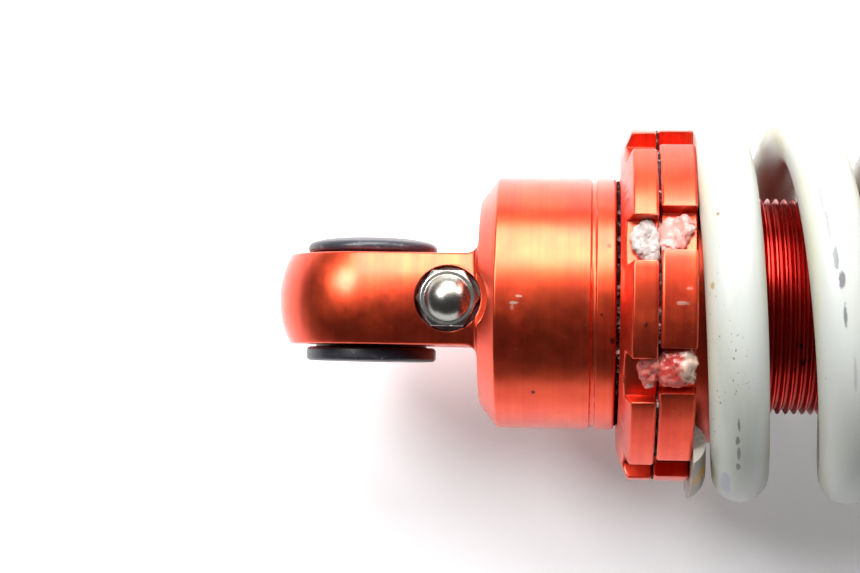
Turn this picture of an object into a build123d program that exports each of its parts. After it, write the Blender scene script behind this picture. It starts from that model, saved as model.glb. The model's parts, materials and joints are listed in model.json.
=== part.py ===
from build123d import *
from math import cos, pi, radians, sin, tan
import os

# Coil-over rear shock lying on its side, millimetres.
# Origin: centre of the upper eye. +X runs down the shaft to the lower eye,
# +Y is the axis of both mounting bolts, +Z is the side with the gas valve.

# ---- driving dimensions ----
# Whole unit
eye_distance = 250.0  # between the bolt axes, fully extended
stroke = 50.0

# Mounting eyes, upper and lower alike
bolt_bore = 10.0
sleeve_wall = 2.0
bush_wall = 3.4
eye_wall = 6.85  # metal round the bush, before the flats are milled
eye_width = 16.6  # across the two milled flats
flange_radius = 12.1
flange_thickness = 2.7
flange_gap = 0.45  # bare bush between the flat and its flange
flat_corner = 2.2  # radius that the cutter leaves at the end of a flat

# Threaded tube
tube_radius = 19.85
tube_wall = 3.85
thread_depth = 0.92
thread_length = 62.0  # from the cap's open end

# Upper end cap
cap_wall = 3.4
cap_length = 24.75
cap_chamfer_length = 3.3  # along X, at the shoulder
cap_chamfer_rise = 4.2
shoulder_round = 1.0
cap_neck = 3.3  # from the eye's outline to the shoulder
cap_thread = 18.9  # how far the tube screws in
cap_groove = 0.9
cap_groove_depth = 0.5
cap_groove_setback = 3.6
fine_chamfer = 0.35

# Gas valve under a dome nut, beside the upper eye
valve_x_from_shoulder = 5.2
pocket_radius = 5.9
pocket_floor = 12.4
key_clearance_radius = 7.2
key_clearance_floor = 17.3
nut_across_flats = 10.0
nut_hex_height = 4.6
nut_dome_radius = 4.75
washer_thickness = 0.8
valve_stem_radius = 2.5
gas_passage_radius = 1.0

# Preload rings
ring_radius = 32.45
ring_thickness = 6.4
ring_cone = 2.0
ring_cone_rise = 4.9
ring_to_cap = 0.6
ring_to_ring = 0.3
notch_count = 8
notch_width = 8.2
notch_depth = 3.1
preload_lobe_turn = 0.3
lock_lobe_turn = 3.7
spigot_length = 8.0
spigot_clearance = 0.35

# Coil spring
wire_diameter = 10.4
spring_outer_radius = 36.1
closed_pitch_factor = 1.05
closed_turns = 1.05
active_turns = 6.8
pitch_blend = 0.5  # turns over which the pitch opens up
points_per_turn = 12
tip_bury = 3.0  # how far the tip's centre lies beyond the ground face
tip_angle = 144.0  # from +Y toward +Z

# Rod and piston
rod_radius = 6.0
rod_bore = 3.0
rod_pin_radius = 4.0
piston_length = 12.0
piston_clearance = 0.1
shim_thickness = 0.3
shim_count = 5
piston_nut_height = 6.5
pin_past_nut = 1.0
band_length = 7.0
band_depth = 1.3

# Seal head
head_length = 17.0
circlip_thickness = 1.4
circlip_depth = 0.9
tube_past_circlip = 1.6
bumper_length = 6.5
bumper_wall = 4.0

# Floating piston
gas_chamber = 12.0
floater_length = 9.0
floater_skirt = 2.2

# O-ring sections
small_ring_section = 0.9
floater_ring_section = 1.2

# Lower end
seat_to_eye = 41.0  # spring seat face to the lower bolt axis
seat_thickness = 7.0
seat_radius = 35.0
seat_recess = 4.0  # how far the mount's pilot lies inside the seat
lower_nut_height = 5.5
lower_nut_across_flats = 19.0
stop_washer_thickness = 1.2
stop_washer_radius = 14.0
bump_stop_length = 8.5
bump_stop_radius = 13.0
stroke_reserve = 0.8
pilot_radius = 17.0
mount_flange_radius = 25.0
mount_flange_length = 3.0
rod_thread = 15.0  # rod screwed into the lower mount

# Rebound adjuster
adjuster_radius = 4.0
adjuster_length = 9.0
adjuster_recess = 0.6
adjuster_tip_radius = 2.0
needle_radius = 1.6
needle_length = 90.0
slot_width = 1.2
slot_depth = 1.2

# Clearances
running_fit = 0.05
thread_fit = 0.10
soft_gap = 0.30

# ---- places that follow from them ----
sleeve_radius = bolt_bore / 2 + sleeve_wall
bush_radius = sleeve_radius + bush_wall
eye_radius = bush_radius + eye_wall
flange_inner = eye_width / 2 + flange_gap
flange_outer = flange_inner + flange_thickness

tube_bore = tube_radius - tube_wall
cap_radius = tube_radius + cap_wall
shoulder_x = eye_radius + cap_neck
cap_end = shoulder_x + cap_length
tube_start = cap_end - cap_thread
valve_x = shoulder_x - valve_x_from_shoulder

lock_start = cap_end + ring_to_cap
lock_end = lock_start + ring_thickness
preload_start = lock_end + ring_to_ring
preload_end = preload_start + ring_thickness

spring_start = preload_end
spring_end = eye_distance - seat_to_eye
wire_radius = wire_diameter / 2
coil_radius = spring_outer_radius - wire_radius
spring_inner_radius = coil_radius - wire_radius
spigot_radius = spring_inner_radius - spigot_clearance

seat_start = spring_end
seat_end = seat_start + seat_thickness
pilot_start = seat_start + seat_recess
lower_nut_start = pilot_start - lower_nut_height
stop_washer_start = lower_nut_start - stop_washer_thickness
bump_stop_start = stop_washer_start - bump_stop_length
tube_end = bump_stop_start - stroke - stroke_reserve

circlip_end = tube_end - tube_past_circlip
circlip_start = circlip_end - circlip_thickness
head_start = circlip_start - head_length
bumper_start = head_start - bumper_length
shim_stack = shim_thickness * shim_count
piston_end = bumper_start - shim_stack
piston_start = piston_end - piston_length
rebound_shims_start = piston_start - shim_stack
piston_nut_start = rebound_shims_start - piston_nut_height
rod_start = piston_nut_start - pin_past_nut
rod_end = pilot_start + rod_thread
floater_start = tube_start + gas_chamber
floater_end = floater_start + floater_length
thread_end = cap_end + thread_length
adjuster_x = rod_end + adjuster_tip_radius + 1.0


def turned_band(start, end, inner, outer):
    """Rectangle in the current sketch: a ring from start to end, inner to outer radius."""
    with Locations((start, inner)):
        Rectangle(end - start, outer - inner, align=(Align.MIN, Align.MIN))


def save(piece, name):
    """Label a finished piece and write its STEP file."""
    piece.part.label = name
    export_step(piece.part, f"parts/{name}.step")


os.makedirs("parts", exist_ok=True)

# ---- upper end cap: eye, milled flats, valve pocket, threaded socket ----
with BuildPart() as upper_end_cap:
    with BuildSketch() as cap_profile:
        with BuildLine():
            CenterArc((0, 0), eye_radius, 90, 90)
            Line((0, eye_radius), (shoulder_x, eye_radius))
            Polyline(
                (shoulder_x, eye_radius),
                (shoulder_x, cap_radius - cap_chamfer_rise),
                (shoulder_x + cap_chamfer_length, cap_radius),
                (cap_end - fine_chamfer, cap_radius),
                (cap_end, cap_radius - fine_chamfer),
                (cap_end, 0),
                (-eye_radius, 0),
            )
        make_face()
        shoulder_corners = cap_profile.vertices().filter_by_position(
            Axis.X, shoulder_x - 0.01, shoulder_x + 0.01
        ).sort_by(Axis.Y)
        fillet(shoulder_corners[-1], shoulder_round)
        neck_corner = cap_profile.vertices().filter_by_position(
            Axis.X, shoulder_x - 0.01, shoulder_x + 0.01
        ).sort_by(Axis.Y)[0]
        shoulder_height = cap_radius - cap_chamfer_rise - eye_radius
        fillet(neck_corner, min(flat_corner, shoulder_height * 0.6))
    revolve(axis=Axis.X)
    # socket for the tube
    with BuildSketch():
        turned_band(tube_start, cap_end, 0, tube_radius + thread_fit)
    revolve(axis=Axis.X, mode=Mode.SUBTRACT)
    # decorative groove near the open end
    groove_start = cap_end - cap_groove_setback - cap_groove
    with BuildSketch():
        turned_band(
            groove_start, groove_start + cap_groove, cap_radius - cap_groove_depth, cap_radius + 1
        )
    revolve(axis=Axis.X, mode=Mode.SUBTRACT)
    # two flats across the eye, with the cutter's corner radius
    with BuildSketch() as flats:
        with Locations((shoulder_x, eye_width / 2)):
            Rectangle(2 * shoulder_x + eye_radius, eye_radius, align=(Align.MAX, Align.MIN))
        inner_corner = flats.vertices().group_by(Axis.X)[-1].sort_by(Axis.Y)[0]
        fillet(inner_corner, flat_corner)
        mirror(about=Plane.XZ)
    extrude(amount=eye_radius + 1, both=True, mode=Mode.SUBTRACT)
    # eye bore
    with BuildSketch(Plane.XZ):
        Circle(bush_radius)
    extrude(amount=cap_radius, both=True, mode=Mode.SUBTRACT)
    # valve pocket, room for a socket key above it, stem bore and gas passage
    with BuildSketch(Plane.XY.offset(pocket_floor)):
        with Locations((valve_x, 0)):
            Circle(pocket_radius)
    extrude(amount=cap_radius, mode=Mode.SUBTRACT)
    with BuildSketch(Plane.XY.offset(key_clearance_floor)):
        with Locations((valve_x, 0)):
            Circle(key_clearance_radius)
    extrude(amount=cap_radius, mode=Mode.SUBTRACT)
    with BuildSketch(Plane.XY):
        with Locations((valve_x, 0)):
            Circle(valve_stem_radius + running_fit)
    extrude(amount=pocket_floor, mode=Mode.SUBTRACT)
    with BuildSketch(Plane.YZ.offset(valve_x)):
        with Locations((0, 2 * gas_passage_radius)):
            Circle(gas_passage_radius)
    extrude(amount=tube_start - valve_x, mode=Mode.SUBTRACT)
save(upper_end_cap, "upper_end_cap")

# ---- gas valve stem, washer and dome nut ----
stem_base = 3 * gas_passage_radius + 1.0
nut_base = pocket_floor + washer_thickness
nut_top = nut_base + nut_hex_height
nut_corner_radius = nut_across_flats / 3**0.5
nut_face_radius = nut_dome_radius + 0.1
nut_corner_drop = (nut_corner_radius - nut_face_radius) * tan(radians(30))
with BuildPart() as gas_valve_stem:
    with BuildSketch(Plane.XY.offset(stem_base)):
        with Locations((valve_x, 0)):
            Circle(valve_stem_radius)
            Circle(valve_stem_radius / 3, mode=Mode.SUBTRACT)
    extrude(amount=nut_top - stem_base)
save(gas_valve_stem, "gas_valve_stem")

with BuildPart() as valve_washer:
    with BuildSketch(Plane.XY.offset(pocket_floor)):
        with Locations((valve_x, 0)):
            Circle(pocket_radius - running_fit * 4)
            Circle(valve_stem_radius + running_fit, mode=Mode.SUBTRACT)
    extrude(amount=washer_thickness)
save(valve_washer, "valve_washer")

with BuildPart() as dome_nut:
    with BuildSketch(Plane.XY.offset(nut_base)):
        with Locations((valve_x, 0)):
            RegularPolygon(nut_across_flats / 2, 6, major_radius=False)
    extrude(amount=nut_hex_height)
    # the hexagon's top corners are turned off at 30 degrees
    with BuildSketch(Plane.XZ):
        with BuildLine():
            Polyline(
                (valve_x, nut_base),
                (valve_x + nut_corner_radius, nut_base),
                (valve_x + nut_corner_radius, nut_top - nut_corner_drop),
                (valve_x + nut_face_radius, nut_top),
                (valve_x, nut_top),
                close=True,
            )
        make_face()
    revolve(axis=Axis((valve_x, 0, 0), (0, 0, 1)), mode=Mode.INTERSECT)
    with BuildSketch(Plane.XY.offset(nut_base)):
        with Locations((valve_x, 0)):
            Circle(nut_dome_radius)
    extrude(amount=nut_hex_height)
    with Locations((valve_x, 0, nut_top)):
        Sphere(nut_dome_radius, arc_size1=0)
    with BuildSketch(Plane.XY.offset(nut_base)):
        with Locations((valve_x, 0)):
            Circle(valve_stem_radius + running_fit)
    extrude(amount=nut_hex_height, mode=Mode.SUBTRACT)
save(dome_nut, "dome_nut")

# ---- bushes and sleeves, the same at both eyes ----
for end_name, eye_x in (("upper", 0.0), ("lower", eye_distance)):
    for side_name, side in (("front", -1), ("back", 1)):
        with BuildPart() as bush:
            with BuildSketch(Plane.XY):
                with Locations((eye_x, 0)):
                    with Locations((sleeve_radius + running_fit, side * soft_gap / 2)):
                        Rectangle(
                            bush_wall - 2 * running_fit,
                            flange_inner - soft_gap / 2,
                            align=(Align.MIN, Align.MIN if side > 0 else Align.MAX),
                        )
                    with Locations((sleeve_radius + running_fit, side * flange_inner)):
                        Rectangle(
                            flange_radius - sleeve_radius - running_fit,
                            flange_thickness,
                            align=(Align.MIN, Align.MIN if side > 0 else Align.MAX),
                        )
            revolve(axis=Axis((eye_x, 0, 0), (0, 1, 0)))
        save(bush, f"{end_name}_bush_{side_name}")
    with BuildPart() as eye_sleeve:
        with BuildSketch(Plane.XZ):
            with Locations((eye_x, 0)):
                Circle(sleeve_radius)
                Circle(bolt_bore / 2, mode=Mode.SUBTRACT)
        extrude(amount=flange_outer, both=True)
    save(eye_sleeve, f"{end_name}_eye_sleeve")

# ---- damper tube ----
ring_groove = 2 * small_ring_section
ring_groove_start = tube_start + 2.0
with BuildPart() as damper_tube:
    with BuildSketch():
        turned_band(tube_start, thread_end, tube_bore, tube_radius)
        turned_band(thread_end, tube_end, tube_bore, tube_radius - thread_depth)
    revolve(axis=Axis.X)
    with BuildSketch():
        turned_band(
            ring_groove_start,
            ring_groove_start + ring_groove,
            tube_radius + thread_fit - ring_groove,
            tube_radius + 1,
        )
        turned_band(circlip_start, circlip_end, tube_bore - 1, tube_bore + circlip_depth)
    revolve(axis=Axis.X, mode=Mode.SUBTRACT)
save(damper_tube, "damper_tube")

with BuildPart() as cap_o_ring:
    with BuildSketch():
        with Locations(
            (ring_groove_start + small_ring_section, tube_radius + thread_fit - small_ring_section)
        ):
            Circle(small_ring_section)
    revolve(axis=Axis.X)
save(cap_o_ring, "cap_o_ring")

# ---- castellated rings ----
ring_bore = tube_radius + thread_fit
cone_radius = ring_radius - ring_cone_rise
with BuildPart() as lock_ring:
    with BuildSketch():
        with BuildLine():
            Polyline(
                (lock_start, ring_bore),
                (lock_start, cone_radius),
                (lock_start + ring_cone, ring_radius),
                (lock_end - fine_chamfer, ring_radius),
                (lock_end, ring_radius - fine_chamfer),
                (lock_end, ring_bore),
                close=True,
            )
        make_face()
    revolve(axis=Axis.X)
    with BuildSketch(Plane.YZ.offset(lock_start)):
        with PolarLocations(ring_radius, notch_count, 90 + lock_lobe_turn + 180 / notch_count):
            Rectangle(2 * notch_depth, notch_width)
    extrude(amount=ring_thickness, mode=Mode.SUBTRACT)
save(lock_ring, "lock_ring")

with BuildPart() as preload_ring:
    with BuildSketch():
        with BuildLine():
            Polyline(
                (preload_start, ring_bore),
                (preload_start, ring_radius - fine_chamfer),
                (preload_start + fine_chamfer, ring_radius),
                (preload_end - fine_chamfer, ring_radius),
                (preload_end, ring_radius - fine_chamfer),
                (preload_end, spigot_radius),
                (preload_end + spigot_length - 1, spigot_radius),
                (preload_end + spigot_length, spigot_radius - 1),
                (preload_end + spigot_length, ring_bore),
                close=True,
            )
        make_face()
    revolve(axis=Axis.X)
    with BuildSketch(Plane.YZ.offset(preload_start)):
        with PolarLocations(ring_radius, notch_count, 90 + preload_lobe_turn + 180 / notch_count):
            Rectangle(2 * notch_depth, notch_width)
    extrude(amount=ring_thickness, mode=Mode.SUBTRACT)
save(preload_ring, "preload_ring")

# ---- coil spring: the wire rises slowly in the closed coils and faster between them ----
centre_start = spring_start - tip_bury
centre_end = spring_end + tip_bury
closed_pitch = wire_diameter * closed_pitch_factor
all_turns = 2 * closed_turns + active_turns


def turns_opened(turn):
    """Turns at full extra pitch up to this turn, with a smooth ramp after the closed coil."""
    ramp = min(max(turn - closed_turns + pitch_blend / 2, 0), pitch_blend)
    ramp_share = (ramp - pitch_blend / pi * sin(pi * ramp / pitch_blend)) / 2
    return ramp_share + max(turn - closed_turns - pitch_blend / 2, 0)


half_opened = turns_opened(all_turns / 2)
extra_pitch = (centre_end - centre_start - closed_pitch * all_turns) / (2 * half_opened)
wire_points = []
point_count = round(all_turns * points_per_turn)
for index in range(point_count + 1):
    turn = all_turns * index / point_count
    opened = turns_opened(turn)
    if turn > all_turns / 2:
        opened = 2 * half_opened - turns_opened(all_turns - turn)
    along = centre_start + closed_pitch * turn + extra_pitch * opened
    angle = radians(tip_angle + 360 * turn)
    wire_points.append((along, coil_radius * cos(angle), coil_radius * sin(angle)))

with BuildPart() as coil_spring:
    with BuildLine() as wire_line:
        Spline(*wire_points)
    with BuildSketch(Plane(wire_line.line @ 0, z_dir=wire_line.line % 0)):
        Circle(wire_radius)
    sweep(path=wire_line.line, is_frenet=True)
    split(bisect_by=Plane.YZ.offset(spring_start), keep=Keep.TOP)
    split(bisect_by=Plane.YZ.offset(spring_end), keep=Keep.BOTTOM)
save(coil_spring, "coil_spring")

# ---- piston rod and what it carries ----
with BuildPart() as piston_rod:
    with BuildSketch():
        turned_band(rod_start, bumper_start, 0, rod_pin_radius)
        turned_band(bumper_start, rod_end, 0, rod_radius)
    revolve(axis=Axis.X)
    with BuildSketch():
        turned_band(rod_start, rod_end, 0, rod_bore)
    revolve(axis=Axis.X, mode=Mode.SUBTRACT)
save(piston_rod, "piston_rod")

piston_radius = tube_bore - piston_clearance
with BuildPart() as main_piston:
    with BuildSketch():
        turned_band(piston_start, piston_end, rod_pin_radius + running_fit, piston_radius)
    revolve(axis=Axis.X)
    with BuildSketch():
        band_start = piston_start + (piston_length - band_length) / 2
        turned_band(band_start, band_start + band_length, piston_radius - band_depth, tube_bore)
    revolve(axis=Axis.X, mode=Mode.SUBTRACT)
    with BuildSketch(Plane.YZ.offset(piston_start)):
        with PolarLocations((rod_pin_radius + piston_radius) / 2, 6):
            Circle(1.6)
    extrude(amount=piston_length, mode=Mode.SUBTRACT)
save(main_piston, "main_piston")

with BuildPart() as piston_band:
    with BuildSketch():
        turned_band(
            band_start + running_fit,
            band_start + band_length - running_fit,
            piston_radius - band_depth,
            tube_bore - running_fit,
        )
    revolve(axis=Axis.X)
save(piston_band, "piston_band")

for stack_name, stack_start, widest_last in (
    ("rebound_shims", rebound_shims_start, True),
    ("compression_shims", piston_end, False),
):
    with BuildPart() as shim_pile:
        with BuildSketch():
            for place in range(shim_count):
                rank = shim_count - 1 - place if widest_last else place
                shim_at = stack_start + place * shim_thickness
                shim_radius = piston_radius - 1.5 - rank * 1.2
                turned_band(
                    shim_at, shim_at + shim_thickness, rod_pin_radius + running_fit, shim_radius
                )
        revolve(axis=Axis.X)
    save(shim_pile, stack_name)

with BuildPart() as piston_nut:
    with BuildSketch(Plane.YZ.offset(piston_nut_start)):
        RegularPolygon(1.65 * rod_pin_radius, 6, major_radius=False)
        Circle(rod_pin_radius + running_fit, mode=Mode.SUBTRACT)
    extrude(amount=piston_nut_height)
save(piston_nut, "piston_nut")

with BuildPart() as top_out_bumper:
    with BuildSketch():
        turned_band(
            bumper_start + shim_stack,
            head_start - soft_gap,
            rod_radius + running_fit,
            rod_radius + bumper_wall,
        )
    revolve(axis=Axis.X)
save(top_out_bumper, "top_out_bumper")

# ---- floating piston ----
floater_radius = tube_bore - piston_clearance
floater_groove = 2 * floater_ring_section
floater_groove_start = floater_start + (floater_length - floater_groove) / 2
with BuildPart() as floating_piston:
    with BuildSketch():
        turned_band(floater_start, floater_end, 0, floater_radius)
    revolve(axis=Axis.X)
    with BuildSketch():
        turned_band(
            floater_groove_start,
            floater_groove_start + floater_groove,
            tube_bore - running_fit - floater_groove,
            tube_bore,
        )
        turned_band(floater_start, floater_end - floater_skirt, 0, floater_radius / 2)
    revolve(axis=Axis.X, mode=Mode.SUBTRACT)
save(floating_piston, "floating_piston")

with BuildPart() as floating_piston_o_ring:
    with BuildSketch():
        with Locations(
            (floater_groove_start + floater_ring_section,
             tube_bore - running_fit - floater_ring_section)
        ):
            Circle(floater_ring_section)
    revolve(axis=Axis.X)
save(floating_piston_o_ring, "floating_piston_o_ring")

# ---- seal head with its seals, held by a circlip ----
rod_hole = rod_radius + running_fit
lip_radius = rod_radius + 3.0
lip_length = 3.5
seal_start = head_start + 4.0
wiper_start = circlip_start - lip_length
head_groove_start = head_start + 9.0
with BuildPart() as seal_head:
    with BuildSketch():
        turned_band(head_start, circlip_start, rod_hole, tube_bore - running_fit)
    revolve(axis=Axis.X)
    with BuildSketch():
        turned_band(seal_start, seal_start + lip_length, 0, lip_radius)
        turned_band(wiper_start, circlip_start, 0, lip_radius)
        turned_band(
            head_groove_start,
            head_groove_start + ring_groove,
            tube_bore - running_fit - ring_groove,
            tube_bore,
        )
    revolve(axis=Axis.X, mode=Mode.SUBTRACT)
save(seal_head, "seal_head")

for seal_name, seal_at in (("rod_seal", seal_start), ("rod_wiper", wiper_start)):
    with BuildPart() as lip_seal:
        with BuildSketch():
            with BuildLine():
                Polyline(
                    (seal_at, rod_hole + 0.6),
                    (seal_at, lip_radius),
                    (seal_at + lip_length, lip_radius),
                    (seal_at + lip_length, rod_hole),
                    (seal_at + lip_length / 2, rod_hole),
                    close=True,
                )
            make_face()
        revolve(axis=Axis.X)
    save(lip_seal, seal_name)

with BuildPart() as seal_head_o_ring:
    with BuildSketch():
        with Locations(
            (head_groove_start + small_ring_section,
             tube_bore - running_fit - small_ring_section)
        ):
            Circle(small_ring_section)
    revolve(axis=Axis.X)
save(seal_head_o_ring, "seal_head_o_ring")

with BuildPart() as retaining_circlip:
    with BuildSketch():
        turned_band(
            circlip_start, circlip_end, tube_bore - 1.6, tube_bore + circlip_depth - running_fit
        )
    revolve(axis=Axis.X)
    with Locations((circlip_start + circlip_thickness / 2, 0, -tube_bore)):
        Box(circlip_thickness, 6, 8, mode=Mode.SUBTRACT)
save(retaining_circlip, "retaining_circlip")

# ---- bump stop, its washer and the rod's lock nut ----
with BuildPart() as bump_stop:
    with BuildSketch() as stop_profile:
        turned_band(
            bump_stop_start, stop_washer_start, rod_radius + running_fit, bump_stop_radius
        )
        outer_corners = stop_profile.vertices().group_by(Axis.Y)[-1]
        fillet(outer_corners, bump_stop_length * 0.3)
    revolve(axis=Axis.X)
save(bump_stop, "bump_stop")

with BuildPart() as bump_stop_washer:
    with BuildSketch():
        turned_band(
            stop_washer_start, lower_nut_start, rod_radius + running_fit, stop_washer_radius
        )
    revolve(axis=Axis.X)
save(bump_stop_washer, "bump_stop_washer")

with BuildPart() as rod_lock_nut:
    with BuildSketch(Plane.YZ.offset(lower_nut_start)):
        RegularPolygon(lower_nut_across_flats / 2, 6, major_radius=False)
        Circle(rod_radius + running_fit, mode=Mode.SUBTRACT)
    extrude(amount=lower_nut_height)
save(rod_lock_nut, "rod_lock_nut")

# ---- lower spring seat ----
with BuildPart() as lower_spring_seat:
    with BuildSketch():
        with BuildLine():
            Polyline(
                (seat_start - spigot_length + 1, spigot_radius),
                (seat_start, spigot_radius),
                (seat_start, seat_radius - fine_chamfer),
                (seat_start + fine_chamfer, seat_radius),
                (seat_end - 3, seat_radius),
                (seat_end, seat_radius - 3),
                (seat_end, pilot_radius + running_fit),
                (pilot_start, pilot_radius + running_fit),
                (seat_start - spigot_length, pilot_radius + running_fit),
                (seat_start - spigot_length, spigot_radius - 1),
                close=True,
            )
        make_face()
    revolve(axis=Axis.X)
save(lower_spring_seat, "lower_spring_seat")

# ---- lower mount: pilot, flange, neck with milled flats, eye, adjuster bore ----
flange_end = seat_end + mount_flange_length
adjuster_outer = eye_radius - adjuster_recess
with BuildPart() as lower_eye_mount:
    with BuildSketch():
        turned_band(pilot_start, seat_end, 0, pilot_radius)
        turned_band(seat_end, flange_end, 0, mount_flange_radius)
        turned_band(flange_end, eye_distance, 0, eye_radius)
        with BuildLine():
            CenterArc((eye_distance, 0), eye_radius, 0, 90)
            Polyline(
                (eye_distance, eye_radius), (eye_distance, 0), (eye_distance + eye_radius, 0)
            )
        make_face()
    revolve(axis=Axis.X)
    with BuildSketch() as lower_flats:
        with Locations((flange_end, eye_width / 2)):
            Rectangle(3 * eye_distance, eye_radius, align=(Align.MIN, Align.MIN))
        lower_corner = lower_flats.vertices().group_by(Axis.X)[0].sort_by(Axis.Y)[0]
        fillet(lower_corner, flat_corner)
        mirror(about=Plane.XZ)
    extrude(amount=eye_radius + 1, both=True, mode=Mode.SUBTRACT)
    with BuildSketch(Plane.XZ):
        with Locations((eye_distance, 0)):
            Circle(bush_radius)
    extrude(amount=mount_flange_radius, both=True, mode=Mode.SUBTRACT)
    with BuildSketch():
        turned_band(pilot_start, rod_end, 0, rod_radius + running_fit)
        turned_band(rod_end, adjuster_x, 0, needle_radius + running_fit)
    revolve(axis=Axis.X, mode=Mode.SUBTRACT)
    with BuildSketch(Plane.XY):
        with Locations((adjuster_x, 0)):
            Circle(adjuster_tip_radius + running_fit)
    extrude(amount=eye_radius + 1, mode=Mode.SUBTRACT)
    with BuildSketch(Plane.XY.offset(adjuster_outer - adjuster_length)):
        with Locations((adjuster_x, 0)):
            Circle(adjuster_radius + running_fit)
    extrude(amount=adjuster_length + 1, mode=Mode.SUBTRACT)
save(lower_eye_mount, "lower_eye_mount")

# ---- rebound adjuster: slotted screw whose tip backs the needle ----
with BuildPart() as rebound_adjuster_screw:
    with BuildSketch(Plane.XY.offset(adjuster_outer - adjuster_length)):
        with Locations((adjuster_x, 0)):
            Circle(adjuster_radius)
    extrude(amount=adjuster_length)
    with BuildSketch(Plane.XY.offset(running_fit)):
        with Locations((adjuster_x, 0)):
            Circle(adjuster_tip_radius)
    extrude(amount=adjuster_outer - adjuster_length)
    with Locations((adjuster_x, 0, adjuster_outer)):
        Box(2 * adjuster_radius, slot_width, 2 * slot_depth, mode=Mode.SUBTRACT)
save(rebound_adjuster_screw, "rebound_adjuster_screw")

needle_end = adjuster_x - adjuster_tip_radius - soft_gap
with BuildPart() as rebound_needle:
    with BuildSketch():
        turned_band(needle_end - needle_length, needle_end, 0, needle_radius)
    revolve(axis=Axis.X)
save(rebound_needle, "rebound_needle")
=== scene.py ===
import json
import math

import bmesh
import bpy
from mathutils import Matrix, Vector, noise


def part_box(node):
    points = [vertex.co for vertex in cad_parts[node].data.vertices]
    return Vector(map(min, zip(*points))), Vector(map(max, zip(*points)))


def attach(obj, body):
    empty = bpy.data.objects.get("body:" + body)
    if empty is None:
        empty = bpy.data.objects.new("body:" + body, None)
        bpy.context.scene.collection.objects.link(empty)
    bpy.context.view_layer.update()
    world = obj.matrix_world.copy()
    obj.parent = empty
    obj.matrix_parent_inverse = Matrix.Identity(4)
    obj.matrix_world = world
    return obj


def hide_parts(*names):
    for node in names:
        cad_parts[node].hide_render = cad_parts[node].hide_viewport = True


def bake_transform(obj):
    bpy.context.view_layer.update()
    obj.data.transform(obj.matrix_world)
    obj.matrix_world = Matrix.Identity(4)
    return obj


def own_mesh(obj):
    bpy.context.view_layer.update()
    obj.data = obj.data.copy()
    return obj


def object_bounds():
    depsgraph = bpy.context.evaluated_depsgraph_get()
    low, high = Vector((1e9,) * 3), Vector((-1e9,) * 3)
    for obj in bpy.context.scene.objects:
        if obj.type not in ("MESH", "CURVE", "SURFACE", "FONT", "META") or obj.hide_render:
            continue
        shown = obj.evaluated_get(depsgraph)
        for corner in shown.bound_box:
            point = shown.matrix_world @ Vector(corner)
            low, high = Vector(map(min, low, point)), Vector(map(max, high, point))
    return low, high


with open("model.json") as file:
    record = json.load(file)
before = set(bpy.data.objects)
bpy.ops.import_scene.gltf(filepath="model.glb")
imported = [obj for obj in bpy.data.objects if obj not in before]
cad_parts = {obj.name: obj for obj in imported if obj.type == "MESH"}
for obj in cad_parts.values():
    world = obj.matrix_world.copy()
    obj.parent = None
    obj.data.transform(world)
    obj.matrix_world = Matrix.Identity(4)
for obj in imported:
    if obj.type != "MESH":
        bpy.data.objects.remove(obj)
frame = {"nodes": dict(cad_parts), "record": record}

# Coil-over rear shock lying on a pale table. Metres; +X runs down the shaft, +Y is the
# bolt axis, +Z faces up from the table on the side of the gas valve.

MM = 0.001
cad_low, cad_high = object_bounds()
cap_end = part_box("upper_end_cap")[1].x
tube_low, tube_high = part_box("damper_tube")
lock_low, lock_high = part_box("lock_ring")
preload_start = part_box("preload_ring")[0].x
spring_low, spring_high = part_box("coil_spring")
circlip_low, circlip_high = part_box("retaining_circlip")
eye_distance = frame["record"]["mounts"][1]["pos_m"][0]

# Tube thread, M40 x 1.5
thread_pitch = 1.5 * MM
thread_depth = 0.92 * MM
thread_length = 62 * MM  # from the cap's open end
tube_wall = 3.85 * MM
tube_radius = tube_high.y
tube_bore = tube_radius - tube_wall
thread_root = tube_radius - thread_depth
thread_end = cap_end + thread_length

# Castellated rings
ring_radius = lock_high.y
notch_depth = 3.1 * MM
notch_floor = ring_radius - notch_depth
notch_turn = math.radians(360 / 8)  # from one notch to the next
lock_lobe_turn = math.radians(93.7)  # a lobe's middle, from +Y toward +Z
preload_lobe_turn = math.radians(90.3)

# Spring
wire_radius = 5.2 * MM
coil_radius = 36.1 * MM - wire_radius  # to the wire's centre
closed_pitch = 1.05 * 2 * wire_radius
closed_turns = 1.05
active_turns = 6.8
pitch_blend = 0.5  # turns over which the pitch opens up
tip_bury = 3.0 * MM
tip_turn = math.radians(144)  # from +Y toward +Z

# Bushes
bush_flange = 2.7 * MM  # thickness
bush_wall = 3.3 * MM
running_fit = 0.05 * MM


# ---------------------------------------------------------------- shading helpers
def hexed(code):
    """Linear RGBA of an sRGB hex colour."""
    parts = [int(code[place:place + 2], 16) / 255 for place in (0, 2, 4)]
    linear = [p / 12.92 if p <= 0.04045 else ((p + 0.055) / 1.055) ** 2.4 for p in parts]
    return (*linear, 1.0)


def add(tree, kind, inputs=None, **properties):
    """Add a shader node: properties are set, inputs get a value or a link from a socket."""
    node = tree.nodes.new("ShaderNode" + kind)
    for name, value in properties.items():
        setattr(node, name, value)
    for name, value in (inputs or {}).items():
        if isinstance(value, bpy.types.NodeSocket):
            tree.links.new(value, node.inputs[name])
        else:
            node.inputs[name].default_value = value
    return node


def new_material(name, **shader_inputs):
    """A material with its Principled shader set; returns (material, tree, shader)."""
    material = bpy.data.materials.new(name)
    material.use_nodes = True
    tree = material.node_tree
    shader = tree.nodes["Principled BSDF"]
    for socket, value in shader_inputs.items():
        shader.inputs[socket.replace("_", " ")].default_value = value
    return material, tree, shader


def in_place(tree):
    """The surface point in metres, in the frame of the whole unit."""
    return add(tree, "TexCoord").outputs["Object"]


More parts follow.
